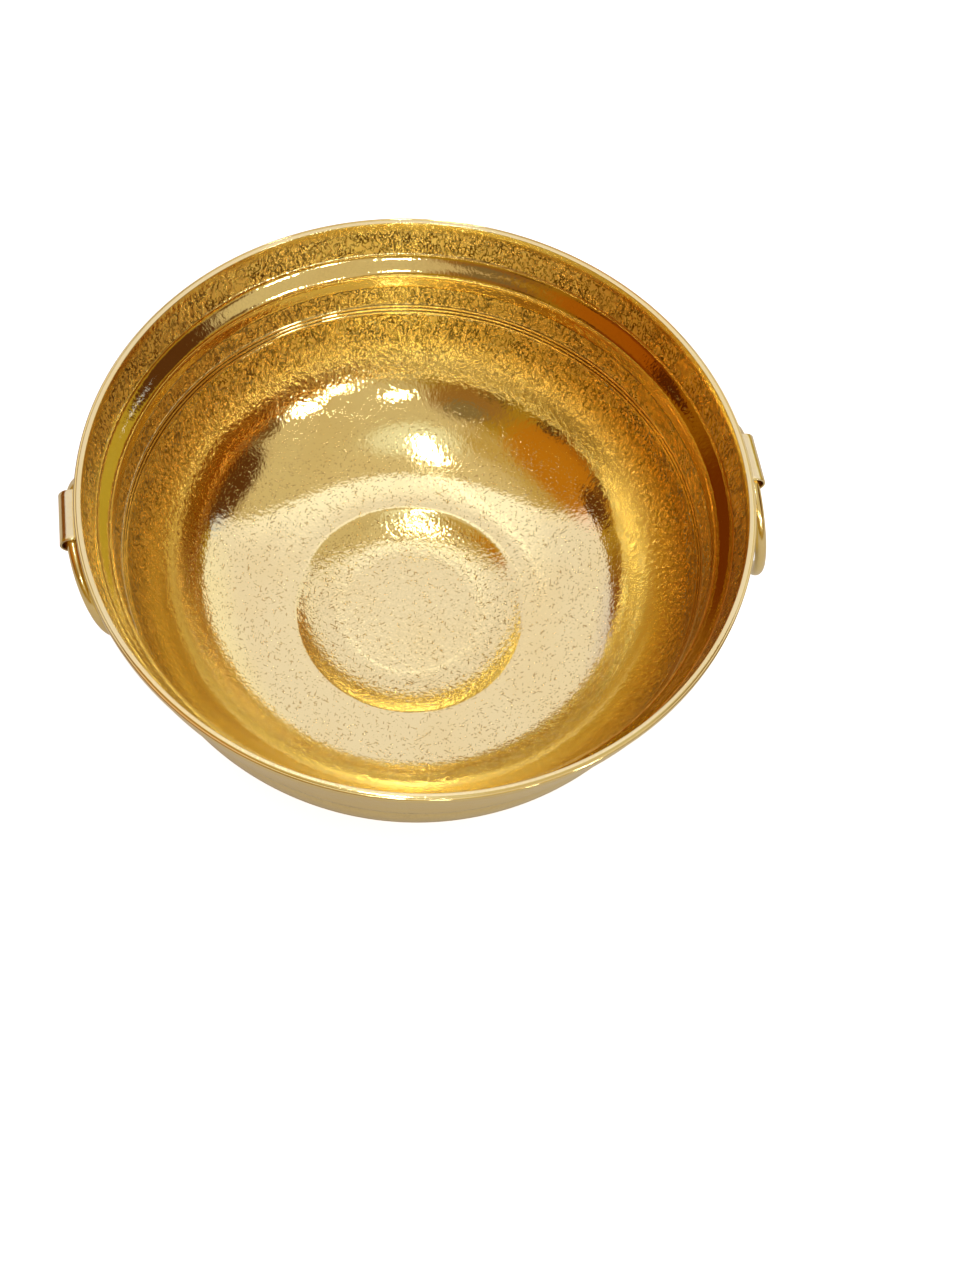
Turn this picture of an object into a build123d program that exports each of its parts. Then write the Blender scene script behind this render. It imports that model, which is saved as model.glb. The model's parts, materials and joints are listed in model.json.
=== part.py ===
"""A brass urli: a shallow round bowl with two ring handles that swing in straps on its neck.

Millimetres. The origin is the centre of the foot's flat underside, +Z is up and the handles are on the X axis.
"""

from build123d import *
from math import cos, radians, sin, sqrt
import os

os.makedirs("parts", exist_ok=True)

# Bowl: heights are above the surface that it stands on
rim_radius = 100.0
bowl_height = 87.0
lip_width = 2.2
lip_height = 2.2
lip_rounding = 0.6
wall = 1.9

# Inside, from the top: neck band, shoulder that steps in, waist, and fine turned ridges
neck_foot_radius = 96.0
neck_foot_z = bowl_height - 12.2
waist_top_radius = 91.3
waist_top_z = bowl_height - 18.8
ridge_top_radius = 90.4
ridge_top_z = bowl_height - 31.2
belly_top_radius = 89.1
belly_top_z = bowl_height - 34.8
ridge_count = 3
ridge_relief = 0.2

# Belly: a quarter ellipse that ends level at the edge of the pressed foot
floor_radius = 39.6
floor_z = bowl_height - 80.1

# Recess in the foot: a dish whose sides slope down from the belly and curve out level
recess_radius = 29.8
recess_curve = 28.0
recess_edge_rounding = 4.5
foot_wall = 2.0
foot_radius = 35.0
foot_top_radius = 39.9
foot_rounding = 0.75

# Outside: the neck leans in from just under the lip, and the shoulder and belly follow the inside
neck_wall = 1.6
lip_overhang = 1.1
lip_undercut = 0.6
shoulder_drop = 1.2
ridge_wall = 1.7
neck_end_drop = 0.4

# Directions of the shoulder's curve at its ends, inside and outside
neck_foot_lean = (-0.15, -1)
waist_top_lean = (-0.05, -1)
outer_waist_lean = (0.05, 1)
outer_neck_lean = (0.12, 1)

# Straps: a U of sheet brass over each ring, brazed to the neck
strap_length = 16.8
strap_thickness = 0.7
strap_end_rounding = 0.3
bore_radius = 2.8
hinge_drop = 5.8
tail_height = 3.0
strap_inset = 1.3

# Rings: round rod bent to a circle. Lean is from hanging straight down, outwards positive
rod_radius = 1.8
ring_radius = 23.0
left_ring_lean = -13.6
right_ring_lean = 10.0

# The outside of the neck, where the straps sit
neck_top = (rim_radius - lip_overhang, bowl_height - lip_height - lip_undercut)
neck_end = (neck_foot_radius + neck_wall, neck_foot_z - neck_end_drop)
neck_slope = (neck_top[0] - neck_end[0]) / (neck_top[1] - neck_end[1])


def neck_radius(z):
    """Radius of the neck's outside at height z."""
    return neck_end[0] + neck_slope * (z - neck_end[1])


# The hinge line runs through the middle of the bore. It lies inside the rod's arc by half the arc's rise
# along the strap, so that the rod clears the bore in every position
hinge_z = bowl_height - hinge_drop
hinge_radius = neck_radius(hinge_z) + bore_radius
half_bore = strap_length / 2 - strap_end_rounding
arc_underside = sqrt((ring_radius - rod_radius) ** 2 - half_bore**2)
hinge_to_ring_centre = (ring_radius + rod_radius + arc_underside) / 2


def ridge_outline():
    """Points down the fine turned ridges inside the waist."""
    drop = (ridge_top_z - belly_top_z) / ridge_count
    step = (ridge_top_radius - belly_top_radius) / ridge_count
    points = []
    for ridge in range(ridge_count):
        radius = ridge_top_radius - step * ridge
        z = ridge_top_z - drop * ridge
        points.append((radius, z))
        points.append((radius - step - ridge_relief, z - drop / 2))
    return points + [(belly_top_radius, belly_top_z)]


def circles_at(part, radius, z):
    """The circular edges of a revolved part at one radius and height."""
    return [
        edge
        for edge in part.edges().filter_by(GeomType.CIRCLE)
        if abs(edge.radius - radius) < 0.01 and abs(edge.arc_center.Z - z) < 0.01
    ]


# Bowl shell: one casting, turned inside and out
lip_inside = (rim_radius - lip_width, bowl_height)
neck_foot = (neck_foot_radius, neck_foot_z)
waist_top = (waist_top_radius, waist_top_z)
belly_top = (belly_top_radius, belly_top_z)
foot_top = (foot_top_radius, floor_z - wall)
outer_belly_top = (belly_top_radius + wall, belly_top_z)
outer_ridge_top = (ridge_top_radius + ridge_wall, ridge_top_z)
outer_waist_top = (waist_top_radius + wall, waist_top_z - shoulder_drop)

with BuildPart() as bowl_shell:
    with BuildSketch(Plane.XZ):
        with BuildLine():
            Line(lip_inside, neck_foot)
            Spline(neck_foot, waist_top, tangents=[neck_foot_lean, waist_top_lean])
            Line(waist_top, (ridge_top_radius, ridge_top_z))
            Polyline(ridge_outline())
            EllipticalCenterArc(
                (floor_radius, belly_top_z),
                belly_top_radius - floor_radius,
                belly_top_z - floor_z,
                start_angle=270,
                arc_size=90,
            )
            Polyline(
                (floor_radius, floor_z),
                (recess_radius, foot_wall),
                (0, foot_wall),
                (0, 0),
                (foot_radius, 0),
                foot_top,
            )
            EllipticalCenterArc(
                (foot_top[0], belly_top_z),
                outer_belly_top[0] - foot_top[0],
                belly_top_z - foot_top[1],
                start_angle=270,
                arc_size=90,
            )
            Spline(outer_belly_top, outer_ridge_top, outer_waist_top, tangents=[(0, 1), outer_waist_lean])
            Spline(outer_waist_top, neck_end, tangents=[outer_waist_lean, outer_neck_lean])
            Polyline(
                neck_end,
                neck_top,
                (rim_radius, bowl_height - lip_height),
                (rim_radius, bowl_height),
                lip_inside,
            )
        make_face()
    revolve(axis=Axis.Z)
    fillet(circles_at(bowl_shell.part, rim_radius, bowl_height), lip_rounding)
    fillet(circles_at(bowl_shell.part, *lip_inside), lip_rounding / 2)
    fillet(circles_at(bowl_shell.part, recess_radius, foot_wall), recess_curve)
    fillet(circles_at(bowl_shell.part, floor_radius, floor_z), recess_edge_rounding)
    fillet(circles_at(bowl_shell.part, foot_radius, 0), foot_rounding)

bowl_shell.part.label = "bowl_shell"
export_step(bowl_shell.part, "parts/bowl_shell.step")


# Straps: the top leg tucks in under the lip, and the tail is turned down flat on the neck
outer_bore_radius = bore_radius + strap_thickness
tail_top = hinge_z - outer_bore_radius
tail_end = tail_top - tail_height

with BuildPart() as strap_right:
    with BuildSketch(Plane.XZ):
        with BuildLine():
            Line(
                (neck_radius(hinge_z + outer_bore_radius) - strap_inset, hinge_z + outer_bore_radius),
                (hinge_radius, hinge_z + outer_bore_radius),
            )
            RadiusArc(
                (hinge_radius, hinge_z + outer_bore_radius),
                (hinge_radius, tail_top),
                outer_bore_radius,
            )
            Polyline(
                (hinge_radius, tail_top),
                (neck_radius(tail_top) + strap_thickness, tail_top),
                (neck_radius(tail_end) + strap_thickness, tail_end),
                (neck_radius(tail_end) - strap_inset, tail_end),
                (neck_radius(hinge_z - bore_radius) - strap_inset, hinge_z - bore_radius),
                (hinge_radius, hinge_z - bore_radius),
            )
            RadiusArc(
                (hinge_radius, hinge_z - bore_radius),
                (hinge_radius, hinge_z + bore_radius),
                -bore_radius,
            )
            Polyline(
                (hinge_radius, hinge_z + bore_radius),
                (neck_radius(hinge_z + bore_radius) - strap_inset, hinge_z + bore_radius),
                (neck_radius(hinge_z + outer_bore_radius) - strap_inset, hinge_z + outer_bore_radius),
            )
        make_face()
    extrude(amount=strap_length / 2, both=True)
    strap_ends = strap_right.faces().filter_by(Axis.Y).edges().filter_by(GeomType.CIRCLE)
    fillet(strap_ends, strap_end_rounding)
    add(bowl_shell.part, mode=Mode.SUBTRACT)

with BuildPart() as strap_left:
    add(strap_right.part.mirror(Plane.YZ))

for strap, label in ((strap_left, "strap_left"), (strap_right, "strap_right")):
    strap.part.label = label
    export_step(strap.part, f"parts/{label}.step")


def ring_plane(side, lean):
    """The plane of a ring's circle, for side -1 or 1 along X."""
    down = Vector(side * sin(radians(lean)), 0, -cos(radians(lean)))
    across = Vector(side * cos(radians(lean)), 0, sin(radians(lean)))
    hinge = Vector(side * hinge_radius, 0, hinge_z)
    return Plane(origin=hinge + down * hinge_to_ring_centre, x_dir=(0, 1, 0), z_dir=across)


# Rings: each hangs from its strap
with BuildPart(ring_plane(-1, left_ring_lean)) as ring_left:
    Torus(ring_radius, rod_radius)

with BuildPart(ring_plane(1, right_ring_lean)) as ring_right:
    Torus(ring_radius, rod_radius)

for ring, label in ((ring_left, "ring_left"), (ring_right, "ring_right")):
    ring.part.label = label
    export_step(ring.part, f"parts/{label}.step")

print(f"hinge lines at x = +-{hinge_radius:.3f}, z = {hinge_z:.3f}")
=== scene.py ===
"""A brass urli with two ring handles, on a pale floor under soft studio light."""

import json
from math import cos, pi, radians, sin, sqrt

import bpy
import numpy as np
from mathutils import Matrix, Vector, noise


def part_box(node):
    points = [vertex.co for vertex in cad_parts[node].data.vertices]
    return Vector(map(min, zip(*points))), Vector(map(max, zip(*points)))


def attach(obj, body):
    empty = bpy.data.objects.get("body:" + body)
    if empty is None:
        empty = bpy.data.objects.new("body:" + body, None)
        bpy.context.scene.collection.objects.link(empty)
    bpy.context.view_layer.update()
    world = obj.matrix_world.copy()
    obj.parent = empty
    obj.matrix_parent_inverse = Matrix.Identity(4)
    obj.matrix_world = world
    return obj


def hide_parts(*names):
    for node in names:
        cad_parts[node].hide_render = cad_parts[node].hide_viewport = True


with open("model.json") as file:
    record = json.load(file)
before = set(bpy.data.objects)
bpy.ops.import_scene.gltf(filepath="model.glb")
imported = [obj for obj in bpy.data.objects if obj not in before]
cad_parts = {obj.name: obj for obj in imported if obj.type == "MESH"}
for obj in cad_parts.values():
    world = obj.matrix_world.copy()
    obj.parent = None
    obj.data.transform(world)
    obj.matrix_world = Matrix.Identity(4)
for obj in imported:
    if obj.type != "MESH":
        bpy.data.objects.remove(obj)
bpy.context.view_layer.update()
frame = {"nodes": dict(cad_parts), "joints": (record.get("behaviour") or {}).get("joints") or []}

MM = 0.001
bowl_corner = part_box("bowl_shell")[1]
RIM = bowl_corner.x / MM  # rim radius, mm
TOP = bowl_corner.z / MM  # rim height, mm


# ---------------------------------------------------------------- helpers


def new_mesh(name, points, faces):
    """A smooth-shaded object from points in mm and faces."""
    mesh = bpy.data.meshes.new(name)
    mesh.from_pydata([tuple(c * MM for c in p) for p in points], [], faces)
    mesh.validate()
    mesh.update()
    mesh.polygons.foreach_set("use_smooth", [True] * len(mesh.polygons))
    ob = bpy.data.objects.new(name, mesh)
    bpy.context.scene.collection.objects.link(ob)
    return ob


def point_values(ob, name, values):
    """A float value for each vertex, which materials read by name."""
    attribute = ob.data.attributes.new(name, "FLOAT", "POINT")
    attribute.data.foreach_set("value", values)


def line(p, q, count):
    """Points from p to q, without q."""
    dx, dy = q[0] - p[0], q[1] - p[1]
    return [(p[0] + dx * i / count, p[1] + dy * i / count) for i in range(count)]


def smooth_curve(p, q, leave, arrive, count):
    """Points of a cubic from p to q with the given directions, without q."""
    length = sqrt((q[0] - p[0]) ** 2 + (q[1] - p[1]) ** 2)
    a = [c * length / sqrt(leave[0] ** 2 + leave[1] ** 2) for c in leave]
    b = [c * length / sqrt(arrive[0] ** 2 + arrive[1] ** 2) for c in arrive]
    out = []
    for i in range(count):
        t = i / count
        h = (2 * t**3 - 3 * t**2 + 1, t**3 - 2 * t**2 + t, 3 * t**2 - 2 * t**3, t**3 - t**2)
        out.append(tuple(h[0] * p[k] + h[1] * a[k] + h[2] * q[k] + h[3] * b[k] for k in (0, 1)))
    return out


def quarter(centre, across, down, start, stop, count):
    """Points of an ellipse's arc, without the last. Angle 0 is the outer end and 90 is the bottom."""
    out = []
    for i in range(count):
        angle = radians(start + (stop - start) * i / count)
        out.append((centre[0] + across * cos(angle), centre[1] - down * sin(angle)))
    return out


def rounded(before, corner, after, radius, count=5):
    """Points round a corner, both ends included."""
    b = Vector((before[0] - corner[0], before[1] - corner[1])).normalized()
    a = Vector((after[0] - corner[0], after[1] - corner[1])).normalized()
    p = Vector(corner) + b * radius
    q = Vector(corner) + a * radius
    out = []
    for i in range(count + 1):
        t = i / count
        m = p * (1 - t) ** 2 + Vector(corner) * 2 * t * (1 - t) + q * t**2
        out.append((m.x, m.y))
    return out


# ---------------------------------------------------------------- bowl

# The profile runs from the centre of the floor, up the inside, over the lip, down the outside to the
# centre of the foot. Each stretch has its own finish: how bumpy the casting is, how much dark skin is
# left in its hollows, how many pits it has, how much it was turned, and how much painted shade darkens
# it (the grooves between the turned ridges).
FINISHES = ("bumpy", "skin", "pits", "turned", "shade")
profile, inside_at = [], []
finish_at = {finish: [] for finish in FINISHES}


def stretch(points, inside=True, bumpy=0.1, skin=0.0, pits=0.0, turned=0.0, shade=0.0):
    """Add points to the profile. A finish is a number, or a function of the point."""
    for p in points:
        profile.append(p)
        inside_at.append(inside)
        for finish, value in zip(FINISHES, (bumpy, skin, pits, turned, shade)):
            finish_at[finish].append(value(p) if callable(value) else value)


def ramp(low, high, at_low, at_high):
    """A finish that changes between two heights, in mm below the rim."""

    def value(p):
        share = min(1.0, max(0.0, (TOP - p[1] - low) / (high - low)))
        return at_low + (at_high - at_low) * share * share * (3 - 2 * share)

    return value


# Inside, from the lip down
LIP_IN = (RIM - 2.2, TOP)
NECK_TOP = (RIM - 2.3, TOP - 1.6)
NECK_FOOT = (RIM - 4.0, TOP - 12.2)
WAIST_TOP = (RIM - 8.7, TOP - 18.8)
WAIST_SMOOTH_TO = (RIM - 8.7, TOP - 23.2)
RIDGE_TOP = (RIM - 9.6, TOP - 31.2)
BELLY_TOP = (RIM - 10.9, TOP - 34.8)
FLOOR_EDGE = (39.6, TOP - 80.1)
RECESS_EDGE = (29.8, 2.0)
RECESS_LEVEL = (22.8, 2.0)
FLOOR_CENTRE = (0.0, 2.0)

# The lip: a fine groove in its top sets off a bead at its outer edge
GROOVE = RIM - 0.62
GROOVE_HALF = 0.07
GROOVE_DEPTH = 0.3
GROOVE_SHOULDER = 0.22
BEAD = 0.5
LIP_FOOT = (RIM, TOP - 2.2)

# Outside, from the lip down
NECK_START = (RIM - 1.0, TOP - 2.75)
NECK_END = (RIM - 2.4, TOP - 12.6)
OUTER_WAIST_TOP = (RIM - 6.8, TOP - 20.0)
OUTER_RIDGE_TOP = (RIM - 7.9, TOP - 31.2)
OUTER_BELLY_TOP = (RIM - 9.0, TOP - 34.8)
FOOT_TOP = (39.9, 5.0)
FOOT_SIDE = (35.6, 0.6)
FOOT_EDGE = (35.0, 0.0)

RIDGES = 3
RIDGE_STEPS = 8
RIDGE_BULGE = 0.2

# How far each rounding reaches back from its corner
RECESS_CURVE = 7.0
RECESS_EDGE_CURVE = 1.1
FOOT_CURVE = 0.7
LIP_CURVE = 0.3
UNDER_LIP_CURVE = 0.2


def ridge_points():
    """Points up the fine turned ridges, each a shallow bulge."""
    points = []
    for ridge in range(RIDGES):
        for step in range(RIDGE_STEPS):
            t = (ridge + step / RIDGE_STEPS) / RIDGES
            radius = BELLY_TOP[0] + (RIDGE_TOP[0] - BELLY_TOP[0]) * t
            height = BELLY_TOP[1] + (RIDGE_TOP[1] - BELLY_TOP[1]) * t
            points.append((radius - RIDGE_BULGE * sin(pi * step / RIDGE_STEPS), height))
    return points


def inside_stretches():
    """From the middle of the floor up to the lip. The recess is a dish, level in the middle."""
    stretch(line(FLOOR_CENTRE, RECESS_LEVEL, 24), bumpy=0.2, skin=0.05, pits=0.8)
    side_foot = rounded(FLOOR_CENTRE, RECESS_EDGE, FLOOR_EDGE, RECESS_CURVE, 16)
    stretch(side_foot, bumpy=0.4, skin=0.1, pits=1.0)
    level = (RIM, FLOOR_EDGE[1])
    side_top = rounded(RECESS_EDGE, FLOOR_EDGE, level, RECESS_EDGE_CURVE, 8)
    stretch(side_top, bumpy=0.15, pits=0.4)
    across, down = BELLY_TOP[0] - FLOOR_EDGE[0], BELLY_TOP[1] - FLOOR_EDGE[1]
    belly = quarter((FLOOR_EDGE[0], BELLY_TOP[1]), across, down, 0, 87.5, 96)
    belly.reverse()
    skin_left = ramp(40, 66, 0.95, 0.0)
    stretch(belly, bumpy=ramp(42, 67, 1.0, 0.12), skin=skin_left, pits=ramp(62, 78, 0.0, 0.6))
    for i, point in enumerate(ridge_points()):
        # painted shade: the rows in the grooves between the ridges are darkened in colour
        in_groove = i % RIDGE_STEPS in (0, RIDGE_STEPS - 1)
        stretch([point], bumpy=0.05, turned=1, shade=0.8 if in_groove else 0.0)
    stretch(line(RIDGE_TOP, WAIST_SMOOTH_TO, 14), bumpy=0.9, skin=0.9, turned=0.1)
    stretch(line(WAIST_SMOOTH_TO, WAIST_TOP, 5), bumpy=0.15, turned=0.8)
    shoulder = smooth_curve(WAIST_TOP, NECK_FOOT, (0.05, 1), (0.15, 1), 18)
    stretch(shoulder, bumpy=0.15, skin=0.05, turned=0.4)
    neck = line(NECK_FOOT, NECK_TOP, 26)
    stretch(neck, bumpy=ramp(1.6, 4.0, 0.3, 1.0), skin=ramp(1.6, 4.0, 0.1, 1.0))


def lip_stretches():
    """Over the lip."""
    stretch(rounded((LIP_IN[0] - 0.1, TOP - 1.2), LIP_IN, (RIM, TOP), LIP_CURVE, 4), turned=1)
    stretch(line((RIM - 1.8, TOP), (GROOVE - 0.16, TOP), 4), turned=1)
    groove = [
        (GROOVE - GROOVE_HALF, TOP - GROOVE_SHOULDER),
        (GROOVE, TOP - GROOVE_DEPTH),
        (GROOVE + GROOVE_HALF, TOP - GROOVE_SHOULDER),
    ]
    stretch(groove, inside=False, bumpy=0, turned=1)
    stretch(quarter((RIM - BEAD, TOP - 0.55), BEAD, -BEAD, 85, 0, 8), inside=False, bumpy=0, turned=1)
    stretch(line((RIM, TOP - 0.6), (RIM, TOP - 2.0), 4), inside=False, turned=1)
    under_lip = rounded((RIM, TOP - 2.0), LIP_FOOT, (RIM - 1.1, TOP - 2.8), UNDER_LIP_CURVE, 3)
    stretch(under_lip, inside=False, turned=1)


def outside_stretches():
    """Down the outside to the middle of the foot."""
    stretch(line(NECK_START, NECK_END, 20), inside=False, bumpy=0.3, turned=0.6)
    shoulder = smooth_curve(NECK_END, OUTER_WAIST_TOP, (-0.12, -1), (-0.05, -1), 18)
    stretch(shoulder, inside=False, turned=0.8)
    stretch(line(OUTER_WAIST_TOP, OUTER_RIDGE_TOP, 14), inside=False, bumpy=0.3, turned=0.6)
    stretch(line(OUTER_RIDGE_TOP, OUTER_BELLY_TOP, 5), inside=False, bumpy=0.3, turned=0.6)
    centre = (FOOT_TOP[0], BELLY_TOP[1])
    belly = quarter(centre, OUTER_BELLY_TOP[0] - FOOT_TOP[0], BELLY_TOP[1] - FOOT_TOP[1], 0, 90, 70)
    stretch(belly, inside=False, bumpy=0.3, skin=0.1, turned=0.8)
    stretch(line(FOOT_TOP, FOOT_SIDE, 6), inside=False, bumpy=0.3, skin=0.2, turned=0.6)
    foot_corner = rounded(FOOT_SIDE, FOOT_EDGE, (0.0, 0.0), FOOT_CURVE, 5)
    stretch(foot_corner, inside=False, bumpy=0.2, turned=0.6)
    underside = line((33.8, 0.0), (0.0, 0.0), 20)[:-1]
    stretch(underside, inside=False, bumpy=0.4, skin=0.5, turned=0.6)


inside_stretches()
lip_stretches()
outside_stretches()

SEGMENTS = 224  # steps round the axis
BROAD_WAVE, BROAD_DEPTH = 26, 0.1  # length and depth of the casting's unevenness, mm
SHORT_WAVE, SHORT_DEPTH = 9, 0.02


def uneven(x, y, height, radius, bumpy):
    """A point of the inside, moved a little because the casting isn't perfectly even."""
    place = Vector((x, y, height))
    wave = noise.noise(place / BROAD_WAVE) * BROAD_DEPTH
    wave += noise.noise(place / SHORT_WAVE) * SHORT_DEPTH
    wave *= min(1.0, bumpy + 0.3)
    grow = 1 + wave / max(radius, 20)
    return x * grow, y * grow, height + wave * 0.5 * max(0.0, 1 - radius / RIM)


def make_bowl():
    """The profile, turned about Z."""
    points, faces = [], []
    for row, (radius, height) in enumerate(profile):
        radius = max(radius, 0.02)
        for step in range(SEGMENTS):
            angle = 2 * pi * step / SEGMENTS
            x, y = radius * cos(angle), radius * sin(angle)
            if inside_at[row] and height < TOP - 0.5:
                points.append(uneven(x, y, height, radius, finish_at["bumpy"][row]))
            else:
                points.append((x, y, height))
    for row in range(len(profile) - 1):
        for step in range(SEGMENTS):
            a = row * SEGMENTS + step
            b = row * SEGMENTS + (step + 1) % SEGMENTS
            faces.append((a, b, b + SEGMENTS, a + SEGMENTS))
    return new_mesh("bowl", points, faces)


bowl = make_bowl()
for finish in FINISHES:
    point_values(bowl, finish, np.repeat(finish_at[finish], SEGMENTS))
point_values(bowl, "inner", np.repeat([float(inside) for inside in inside_at], SEGMENTS))
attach(bowl, "bowl")
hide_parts("bowl_shell")


# ---------------------------------------------------------------- straps and rings

STRAP_LENGTH = (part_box("strap_right")[1].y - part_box("strap_right")[0].y) / MM
BORE = 2.8
SHEET = 0.7
TAIL = 3.0
BURIED = 0.5  # how far the strap's sheet reaches into the neck
TAIL_BEND = 0.3  # corner where the tail turns down the neck
TAIL_EDGE = 0.2
# Distance from the strap's end, and how far the section shrinks there: the ends are rounded over
END_ROUNDING = ((0.0, 0.16), (0.05, 0.07), (0.17, 0.0))
NECK_SLOPE = 1.4 / 9.8
ROD = 1.8  # the ring's rod, radius
HANDMADE = 0.03  # how far straps and rings stray from true
joints = {joint["name"]: joint for joint in frame["joints"]}


def hinge_of(side):
    """Distance from Z and height of the hinge line, for side -1 or 1 along X."""
    place = joints["ring_right_swing" if side > 0 else "ring_left_swing"]["pos_m"]
    return abs(place[0]) / MM, place[2] / MM


def neck_radius(height):
    """Radius of the neck's outside."""
    return NECK_END[0] + (height - NECK_END[1]) * NECK_SLOPE


def strap_lines(side):
    """The outer and inner lines of the strap's section, from the top leg round to the neck again."""
    hinge_x, hinge_z = hinge_of(side)
    top_z = hinge_z + BORE + SHEET
    outer = [(neck_radius(top_z) - BURIED, top_z)]
    inner = [(neck_radius(hinge_z + BORE) - BURIED, hinge_z + BORE)]
    for i in range(25):
        angle = radians(90 - 180 * i / 24)
        outer.append((hinge_x + (BORE + SHEET) * cos(angle), hinge_z + (BORE + SHEET) * sin(angle)))
        inner.append((hinge_x + BORE * cos(angle), hinge_z + BORE * sin(angle)))
    low_z = hinge_z - BORE - SHEET
    tail_z = low_z - TAIL
    outer += [
        (neck_radius(low_z) + SHEET + TAIL_BEND, low_z),
        (neck_radius(low_z) + SHEET, low_z - TAIL_BEND),
        (neck_radius(tail_z) + SHEET, tail_z + TAIL_EDGE),
        (neck_radius(tail_z) + SHEET - TAIL_EDGE, tail_z),
        (neck_radius(tail_z) - BURIED, tail_z),
    ]
    inner.append((neck_radius(hinge_z - BORE) - BURIED, hinge_z - BORE))
    return outer, inner


def end_cap(base, outer_count, inner_count):
    """Triangles between the outer and inner lines of one end."""
    count = outer_count + inner_count
    strip = []
    i = j = 0
    while i < outer_count - 1 or j < inner_count - 1:
        outer_behind = (i + 1) / (outer_count - 1) <= (j + 1) / (inner_count - 1)
        if j == inner_count - 1 or (i < outer_count - 1 and outer_behind):
            strip.append((base + i, base + i + 1, base + count - 1 - j))
            i += 1
        else:
            strip.append((base + i, base + count - 2 - j, base + count - 1 - j))
            j += 1
    return strip


def make_strap(name, side):
    """A U of sheet round the bore, closed against the neck."""
    outer, inner = strap_lines(side)
    outline = outer + inner[::-1]
    count = len(outline)
    last_out, last_in = len(outer) - 1, len(inner) - 1
    # places along the strap, and how far the section shrinks there
    half = STRAP_LENGTH / 2
    stations = [(-half + inward, shrink) for inward, shrink in END_ROUNDING]
    stations += [(-half + STRAP_LENGTH * i / 12, 0.0) for i in range(1, 12)]
    stations += [(half - inward, shrink) for inward, shrink in reversed(END_ROUNDING)]
    middle = []
    for i, p in enumerate(outer):
        q = inner[min(last_in, round(i * last_in / last_out))]
        middle.append(((p[0] + q[0]) / 2, (p[1] + q[1]) / 2))
    points, faces = [], []
    for y, shrink in stations:
        for i, p in enumerate(outline):
            j = i if i <= last_out else last_out - round((i - len(outer)) * last_out / last_in)
            m = middle[max(0, min(last_out, j))]
            d = Vector((m[0] - p[0], m[1] - p[1]))
            move = d.normalized() * min(shrink, d.length * 0.8) if d.length > 1e-6 else Vector((0, 0))
            wobble = HANDMADE * noise.noise(Vector((y / 4, p[1] / 4, side * 3.0)))
            points.append((side * (p[0] + move.x + wobble), y, p[1] + move.y))
    for station in range(len(stations) - 1):
        for i in range(count):
            a, b = station * count + i, station * count + (i + 1) % count
            face = (a, b, b + count, a + count)
            faces.append(face if side < 0 else face[::-1])
    for station in (0, len(stations) - 1):
        faces += end_cap(station * count, len(outer), len(inner))
    return new_mesh(name, points, faces)


def make_ring(name, side, node):
    """A bent rod, a little uneven, where the CAD ring lies."""
    low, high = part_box(node)
    hinge_x, hinge_z = hinge_of(side)
    radius = (high.y - low.y) / MM / 2 - ROD
    middle = Vector((np.array([v.co for v in frame["nodes"][node].data.vertices]) / MM).mean(0))
    centre = Vector((middle.x, 0, middle.z))
    # the ring's plane holds Y and the line from its centre up to the hinge
    up = (Vector((side * hinge_x, 0, hinge_z)) - centre).normalized()
    along = Vector((0, 1, 0))
    normal = up.cross(along)
    points, faces = [], []
    turns, sides = 192, 28
    for i in range(turns):
        angle = 2 * pi * i / turns
        bend = noise.noise(Vector((cos(angle) * 1.7, sin(angle) * 1.7, side * 5.0)))
        swell = noise.noise(Vector((cos(angle) * 5, sin(angle) * 5, side * 9.0)))
        thick = ROD * (0.985 + 0.012 * swell)
        spoke = up * cos(angle) + along * sin(angle)
        heart = centre + spoke * (radius + HANDMADE * bend)
        for j in range(sides):
            roll = 2 * pi * j / sides
            points.append(tuple(heart + spoke * thick * cos(roll) + normal * thick * sin(roll)))
    for i in range(turns):
        for j in range(sides):
            here, there = i * sides, (i + 1) % turns * sides
            faces.append((here + j, here + (j + 1) % sides, there + (j + 1) % sides, there + j))
    return new_mesh(name, points, faces)


straps, rings = [], []
for side, word, body in ((-1, "left", "left_handle"), (1, "right", "right_handle")):
    strap = make_strap(f"{word}_strap", side)
    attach(strap, "bowl")
    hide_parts(f"strap_{word}")
    straps.append(strap)
    ring = make_ring(f"{word}_ring", side, f"ring_{word}")
    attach(ring, body)
    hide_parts(f"ring_{word}")
    rings.append(ring)


# ---------------------------------------------------------------- materials


def new_material(name):
    """A material with only a shader, its node tree and that shader."""
    material = bpy.data.materials.new(name)
    material.use_nodes = True
    tree = material.node_tree
    tree.nodes.clear()
    out = tree.nodes.new("ShaderNodeOutputMaterial")
    shader = tree.nodes.new("ShaderNodeBsdfPrincipled")
    tree.links.new(shader.outputs["BSDF"], out.inputs["Surface"])
    return material, tree, shader


def put(tree, target, value):
    """Link a socket to the target, or set the target to a number."""
    if isinstance(value, bpy.types.NodeSocket):
        tree.links.new(value, target)
    else:
        target.default_value = value


def maths(tree, operation, a, b=None, clamp=False):
    node = tree.nodes.new("ShaderNodeMath")
    node.operation = operation
    node.use_clamp = clamp
    put(tree, node.inputs[0], a)
    if b is not None:
        put(tree, node.inputs[1], b)
    return node.outputs[0]


def product(tree, first, *others):
    """Everything multiplied together."""
    for other in others:
        first = maths(tree, "MULTIPLY", first, other)
    return first


def noise_field(tree, place, scale, detail=2.0, rough=0.5):
    """Smooth noise about 0.5, with so many features per mm."""
    node = tree.nodes.new("ShaderNodeTexNoise")
    put(tree, node.inputs["Vector"], place)
    node.inputs["Scale"].default_value = scale
    node.inputs["Detail"].default_value = detail
    node.inputs["Roughness"].default_value = rough
    return node.outputs["Fac"]


def span(tree, value, low, high, to_low, to_high):
    """The value taken from one range to another, and held at its ends."""
    node = tree.nodes.new("ShaderNodeMapRange")
    put(tree, node.inputs["Value"], value)
    ends = {"From Min": low, "From Max": high, "To Min": to_low, "To Max": to_high}
    for key, number in ends.items():
        node.inputs[key].default_value = number
    return node.outputs["Result"]


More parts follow.
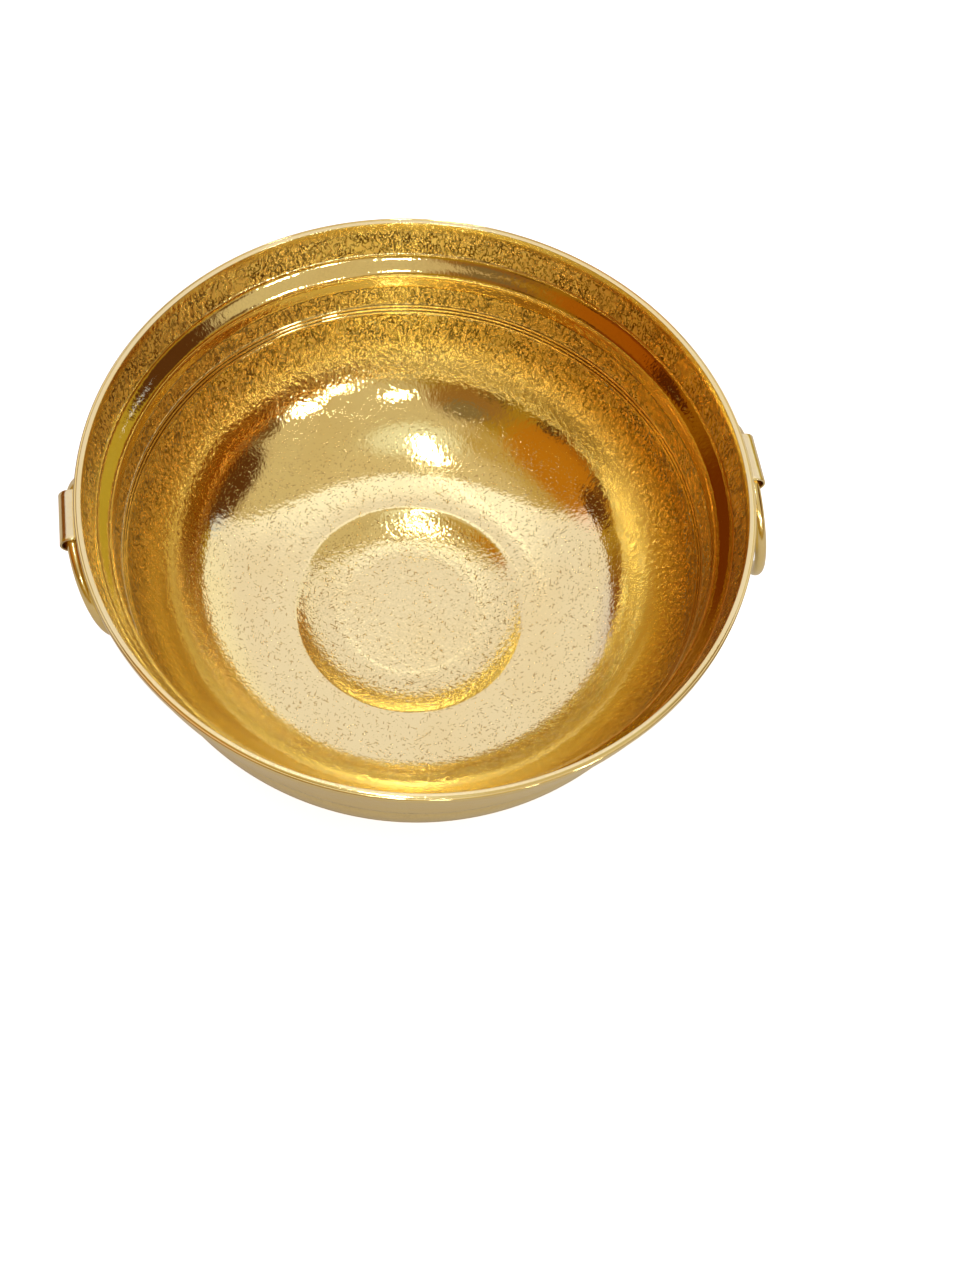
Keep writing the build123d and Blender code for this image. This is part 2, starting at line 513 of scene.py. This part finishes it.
def in_mm(tree):
    """The object's own coordinates, in mm."""
    place = tree.nodes.new("ShaderNodeTexCoord").outputs["Object"]
    scale = tree.nodes.new("ShaderNodeVectorMath")
    scale.operation = "SCALE"
    tree.links.new(place, scale.inputs[0])
    scale.inputs["Scale"].default_value = 1000
    return scale.outputs["Vector"]


def read(tree, name):
    """A finish of the bowl, by name."""
    node = tree.nodes.new("ShaderNodeAttribute")
    node.attribute_name = name
    return node.outputs["Fac"]


MIX_A, MIX_B, MIX_RESULT = 6, 7, 2  # the colours among a Mix node's sockets, which share their names


def colour_mix(tree, share, a, b):
    """Colour a, with a share of b."""
    node = tree.nodes.new("ShaderNodeMix")
    node.data_type = "RGBA"
    put(tree, node.inputs["Factor"], share)
    put(tree, node.inputs[MIX_A], a)
    put(tree, node.inputs[MIX_B], b)
    return node.outputs[MIX_RESULT]


BRASS = (0.91, 0.78, 0.375, 1)
DEEP_BRASS = (0.86, 0.66, 0.25, 1)
BRIGHT_BRASS = (1.0, 0.85, 0.37, 1)
# dark cast skin left in the hollows, and painted shade in the grooves between the ridges
DARK_SKIN_AND_PAINTED_SHADE = (0.10, 0.045, 0.005, 1)
PIT_BROWN = (0.40, 0.22, 0.03, 1)
# painted reflection: the brown of the room that the inner wall by the right handle mirrors
RIGHT_WALL_REFLECTION_BROWN = (0.56, 0.27, 0.04, 1)
STRAP_BRASS = (0.86, 0.75, 0.40, 1)
RING_BRASS = (0.85, 0.71, 0.34, 1)

# Relief of the bowl: noise scales in features per mm, and heights in mm
WORMS, WORM_HEIGHT = 0.66, 0.50
WORM_SQUASH = 0.55  # worms run up the wall more than round it
HOLLOW_CORE, HOLLOW_EDGE = 0.020, 0.057  # distance from the worm noise's middle value
DENTS, DENT_HEIGHT = 0.22, 0.08
LATHE_LINES, LATHE_HEIGHT = 6.0, 0.006
PIT_DEPTH = 0.09
PIT_LONG, PIT_WIDE = 2.3, 0.5
PIT_START, PIT_FULL = 0.69, 0.73  # the higher, the fewer and smaller the pits
PIT_LAYERS = ((20, 0.0), (75, 31.0), (-38, 67.0))  # turn in degrees, shift in mm

# Roughness
POLISHED = (0.035, 0.08)
HANDLE_POLISH = (0.12, 0.24)
UNPOLISHED_ADDS = 0.27


def bump_from(tree, shader, height):
    """Relief from a height in mm."""
    bump = tree.nodes.new("ShaderNodeBump")
    bump.inputs["Strength"].default_value = 1.0
    bump.inputs["Distance"].default_value = MM
    tree.links.new(height, bump.inputs["Height"])
    tree.links.new(bump.outputs["Normal"], shader.inputs["Normal"])


def stretched(tree, place, turn, along, across):
    """Coordinates turned about Z, with one axis drawn out."""
    mapping = tree.nodes.new("ShaderNodeMapping")
    mapping.vector_type = "TEXTURE"
    tree.links.new(place, mapping.inputs["Vector"])
    mapping.inputs["Rotation"].default_value = (0, 0, radians(turn))
    mapping.inputs["Scale"].default_value = (along, across, across)
    return mapping.outputs["Vector"]


def worm_noise(tree, place):
    """Noise whose middle value draws worm-shaped lines, longer up the wall than round it."""
    taller = tree.nodes.new("ShaderNodeVectorMath")
    taller.operation = "MULTIPLY"
    tree.links.new(place, taller.inputs[0])
    taller.inputs[1].default_value = (1, 1, WORM_SQUASH)
    return noise_field(tree, taller.outputs["Vector"], WORMS, 2.0, 0.6)


def scattered_pits(tree, place):
    """Short scratches and pits that lie every way."""
    pits = None
    for turn, shift in PIT_LAYERS:
        offset = tree.nodes.new("ShaderNodeVectorMath")
        tree.links.new(place, offset.inputs[0])
        offset.inputs[1].default_value = (shift, shift * 0.7, 0)
        drawn_out = stretched(tree, offset.outputs["Vector"], turn, PIT_LONG, PIT_WIDE)
        field = noise_field(tree, drawn_out, 1.0, 1.0, 0.5)
        one = span(tree, field, PIT_START, PIT_FULL, 0.0, 1.0)
        pits = one if pits is None else maths(tree, "MAXIMUM", pits, one)
    return maths(tree, "MULTIPLY", pits, read(tree, "pits"), clamp=True)


def lathe_lines(tree, x, y, z):
    """Fine lines round the turned surfaces."""
    squares = maths(tree, "ADD", maths(tree, "POWER", x, 2.0), maths(tree, "POWER", y, 2.0))
    radius = maths(tree, "SQRT", squares)
    path = tree.nodes.new("ShaderNodeCombineXYZ")
    tree.links.new(product(tree, radius, LATHE_LINES), path.inputs[0])
    tree.links.new(product(tree, z, LATHE_LINES), path.inputs[1])
    lines = noise_field(tree, path.outputs[0], 1.0, 2.0, 0.6)
    return product(tree, lines, read(tree, "turned"), LATHE_HEIGHT)


def bowl_brass():
    """Cast brass, polished over a skin of worm-shaped hollows that stayed dark."""
    material, tree, shader = new_material("bowl_brass")
    place = in_mm(tree)
    parts = tree.nodes.new("ShaderNodeSeparateXYZ")
    tree.links.new(place, parts.inputs[0])
    x, y, z = parts.outputs

    worms = worm_noise(tree, place)
    from_line = maths(tree, "ABSOLUTE", maths(tree, "SUBTRACT", worms, 0.5))
    hollow = span(tree, from_line, HOLLOW_CORE, HOLLOW_EDGE, 1.0, 0.0)
    patchy = span(tree, noise_field(tree, place, 0.16, 2.0, 0.5), 0.3, 0.6, 0.45, 1.0)
    skin = product(tree, hollow, patchy, read(tree, "skin"))
    pits = scattered_pits(tree, place)

    height = product(tree, worms, WORM_HEIGHT)
    dents = product(tree, noise_field(tree, place, DENTS, 1.0, 0.5), DENT_HEIGHT)
    height = product(tree, maths(tree, "ADD", height, dents), read(tree, "bumpy"))
    height = maths(tree, "SUBTRACT", height, product(tree, pits, PIT_DEPTH))
    bump_from(tree, shader, maths(tree, "ADD", height, lathe_lines(tree, x, y, z)))

    tarnish = span(tree, noise_field(tree, place, 0.035, 3.0, 0.6), 0.45, 0.75, 0.0, 0.35)
    colour = colour_mix(tree, tarnish, BRASS, DEEP_BRASS)
    colour = colour_mix(tree, read(tree, "skin"), colour, BRIGHT_BRASS)
    # inside, the wall by the right handle is painted browner than the rest: a painted reflection of
    # the brown room on that side
    to_the_right = span(tree, x, 5, 85, 0.0, 0.95)
    off_the_floor = span(tree, z, 18, 42, 0.0, 1.0)
    below_the_lip = span(tree, z, TOP - 2.5, TOP - 1.5, 1.0, 0.0)
    painted_reflection = product(tree, to_the_right, off_the_floor, below_the_lip, read(tree, "inner"))
    colour = colour_mix(tree, painted_reflection, colour, RIGHT_WALL_REFLECTION_BROWN)
    # dark cast skin in the worm hollows, and painted shade in the grooves between the ridges
    colour = colour_mix(tree, maths(tree, "MAXIMUM", skin, read(tree, "shade")), colour, DARK_SKIN_AND_PAINTED_SHADE)
    colour = colour_mix(tree, product(tree, pits, 0.85), colour, PIT_BROWN)
    tree.links.new(colour, shader.inputs["Base Color"])

    rough = span(tree, noise_field(tree, place, 0.12, 3.0, 0.6), 0.3, 0.7, *POLISHED)
    unpolished = product(tree, read(tree, "skin"), 0.8)
    dull = maths(tree, "MAXIMUM", unpolished, maths(tree, "MAXIMUM", skin, pits))
    rough = maths(tree, "ADD", rough, product(tree, dull, UNPOLISHED_ADDS))
    tree.links.new(rough, shader.inputs["Roughness"])
    shader.inputs["Metallic"].default_value = 1.0
    return material


def handle_brass(name, base, relief):
    """Polished sheet or rod, with broad dents so many mm deep."""
    material, tree, shader = new_material(name)
    place = in_mm(tree)
    dents = product(tree, noise_field(tree, place, 0.5, 2.0, 0.5), relief)
    grain = product(tree, noise_field(tree, place, 4.0, 2.0, 0.6), 0.003)
    bump_from(tree, shader, maths(tree, "ADD", dents, grain))
    tarnish = span(tree, noise_field(tree, place, 0.3, 2.0, 0.6), 0.4, 0.7, 0.0, 0.4)
    tree.links.new(colour_mix(tree, tarnish, base, DEEP_BRASS), shader.inputs["Base Color"])
    rough = span(tree, noise_field(tree, place, 0.8, 3.0, 0.6), 0.3, 0.7, *HANDLE_POLISH)
    tree.links.new(rough, shader.inputs["Roughness"])
    shader.inputs["Metallic"].default_value = 1.0
    return material


bowl.data.materials.append(bowl_brass())
strap_metal = handle_brass("strap_brass", STRAP_BRASS, 0.025)
for strap in straps:
    strap.data.materials.append(strap_metal)
ring_metal = handle_brass("ring_brass", RING_BRASS, 0.015)
for ring in rings:
    ring.data.materials.append(ring_metal)


# ---------------------------------------------------------------- floor, light and camera

FLOOR_GREY = (0.70, 0.70, 0.70, 1)
BACKDROP = (0.93, 0.93, 0.92, 1)

bpy.ops.mesh.primitive_plane_add(size=6)
floor = bpy.context.object
floor.name = "floor"
floor_paint, tree, shader = new_material("floor_white")
shader.inputs["Base Color"].default_value = FLOOR_GREY
shader.inputs["Roughness"].default_value = 0.9
shader.inputs["Emission Color"].default_value = (1, 1, 1, 1)
floor.data.materials.append(floor_paint)
# the floor reads white to the eye, and the brass mirrors it as the pale grey that the light makes it
to_eye = tree.nodes.new("ShaderNodeLightPath").outputs["Is Camera Ray"]
tree.links.new(product(tree, to_eye, 0.8), shader.inputs["Emission Strength"])


def direction(azimuth, elevation):
    """A unit vector. Azimuth 0 is +Y and 90 is +X."""
    az, el = radians(azimuth), radians(elevation)
    return (sin(az) * cos(el), cos(az) * cos(el), sin(el))


world = bpy.data.worlds.new("studio")
bpy.context.scene.world = world
world.use_nodes = True
sky = world.node_tree
ray = sky.nodes.new("ShaderNodeTexCoord").outputs["Generated"]


def patch(colour, azimuth, elevation, within, out_to, tint):
    """The colour, turned to a tint around one direction."""
    aim = sky.nodes.new("ShaderNodeVectorMath")
    aim.operation = "DOT_PRODUCT"
    sky.links.new(ray, aim.inputs[0])
    aim.inputs[1].default_value = direction(azimuth, elevation)
    share = sky.nodes.new("ShaderNodeMapRange")
    share.interpolation_type = "SMOOTHSTEP"
    sky.links.new(aim.outputs["Value"], share.inputs["Value"])
    share.inputs["From Min"].default_value = cos(radians(out_to))
    share.inputs["From Max"].default_value = cos(radians(within))
    return colour_mix(sky, share.outputs["Result"], colour, (*tint, 1))


# What the brass mirrors in the room round the table. Each thing has the azimuth and elevation of its
# middle, how far out it is plain and where it has faded away, all in degrees, and its colour. Later
# things lie over earlier ones.
GOLDEN_BROWN = (0.40, 0.24, 0.03, 1)
ROOM = (
    (148, 52, 32, 48, (0.66, 0.54, 0.37)),  # tan, wide, over the near right
    (-108, 62, 12, 24, (0.55, 0.38, 0.14)),  # brown, high on the left
    (0, 90, 12, 28, (0.70, 0.57, 0.40)),  # tan overhead
    (-175, 68, 5, 16, (0.92, 0.90, 0.85)),  # white, high over the near side
    (-103, 36, 17, 27, (0.50, 0.19, 0.015)),  # warm wood on the left
    (-105, 8, 8, 20, (0.28, 0.09, 0.015)),  # darker wood below it
    (-152, 32, 8, 18, (0.32, 0.16, 0.05)),  # brown, near left
    (-48, 14, 12, 28, (0.22, 0.07, 0.01)),  # dark, far left
    (60, 12, 15, 38, (0.50, 0.36, 0.05)),  # golden, low on the far right
    (103, 26, 12, 19, (0.10, 0.035, 0.01)),  # dark, right
    (127, 22, 4, 8, (0.16, 0.08, 0.03)),  # this and the rest: small dark things
    (-119, 22, 3, 6, (0.10, 0.05, 0.02)),
    (-90, 22, 3, 6, (0.12, 0.05, 0.02)),
    (-141, 19, 4, 7, (0.16, 0.09, 0.03)),
    (-152, 40, 5, 9, (0.25, 0.18, 0.10)),
    (-84, 32, 5, 9, (0.12, 0.04, 0.01)),
)
room = GOLDEN_BROWN
for thing in ROOM:
    room = patch(room, *thing)
seen_direct = sky.nodes.new("ShaderNodeLightPath").outputs["Is Camera Ray"]
backdrop = colour_mix(sky, seen_direct, room, BACKDROP)
sky.links.new(backdrop, sky.nodes["Background"].inputs["Color"])


def area_light(name, place, size, radiance, colour=(1, 1, 1), shape="RECTANGLE"):
    """A light that faces straight down. Its power follows from its area and how bright it looks."""
    light = bpy.data.lights.new(name, "AREA")
    light.shape = shape
    light.size = size[0]
    light.size_y = size[1]
    area = size[0] * size[1] * (pi / 4 if shape == "ELLIPSE" else 1)
    light.energy = radiance * pi * area
    light.color = colour
    ob = bpy.data.objects.new(name, light)
    ob.location = place
    bpy.context.scene.collection.objects.link(ob)
    return ob


CEILING_TURN = -3.4  # degrees about Z
ROUND_LAMPS = (  # name, place, width, radiance
    ("lamp_right", (0.81, -1.06, 0.69), 0.16, 40),
    ("lamp_middle", (0.03, -1.22, 0.88), 0.12, 40),
    ("lamp_low", (0.52, -1.25, 0.58), 0.10, 28),
)
BOWL_MIDDLE = Vector((0, 0, 0.04))

# A wide white ceiling over the far side, round lamps over the near side, a lamp and a tube overhead
ceiling = area_light(
    "ceiling", (0.37, 1.37, 1.0), size=(3.06, 2.5), radiance=0.98, colour=(0.52, 0.62, 1.0)
)
ceiling.rotation_euler = (0, 0, radians(CEILING_TURN))
for name, place, width, radiance in ROUND_LAMPS:
    lamp = area_light(name, place, (width, width), radiance, shape="ELLIPSE")
    lamp.rotation_euler = (BOWL_MIDDLE - Vector(place)).to_track_quat("-Z", "Y").to_euler()
area_light("lamp_over", (-0.087, -0.32, 1.45), size=(0.05, 0.56), radiance=30, shape="ELLIPSE")
area_light("tube", (-0.02, 0.05, 1.45), size=(0.04, 1.3), radiance=1.0, shape="ELLIPSE")

# The camera stands over the near side, looks down at a point of the table near the bowl's axis, and is
# held askew
EYE = Vector((-0.04806, -0.23453, 0.46026))
LOOK_AT = Vector((0.0228, -0.01176, 0))
ROLL = 10.124  # degrees
camera = bpy.data.cameras.new("camera")
camera.lens = 42.19
camera.sensor_width = 36
camera.clip_start = 0.01
eye = bpy.data.objects.new("camera", camera)
aim = (LOOK_AT - EYE).to_track_quat("-Z", "Y").to_matrix() @ Matrix.Rotation(radians(ROLL), 3, "Z")
eye.matrix_world = Matrix.Translation(EYE) @ aim.to_4x4()
bpy.context.scene.collection.objects.link(eye)
bpy.context.scene.camera = eye
bpy.context.scene.view_settings.view_transform = "Standard"
bpy.context.scene.cycles.max_bounces = 24
bpy.context.scene.cycles.glossy_bounces = 16
bpy.context.scene.cycles.diffuse_bounces = 3
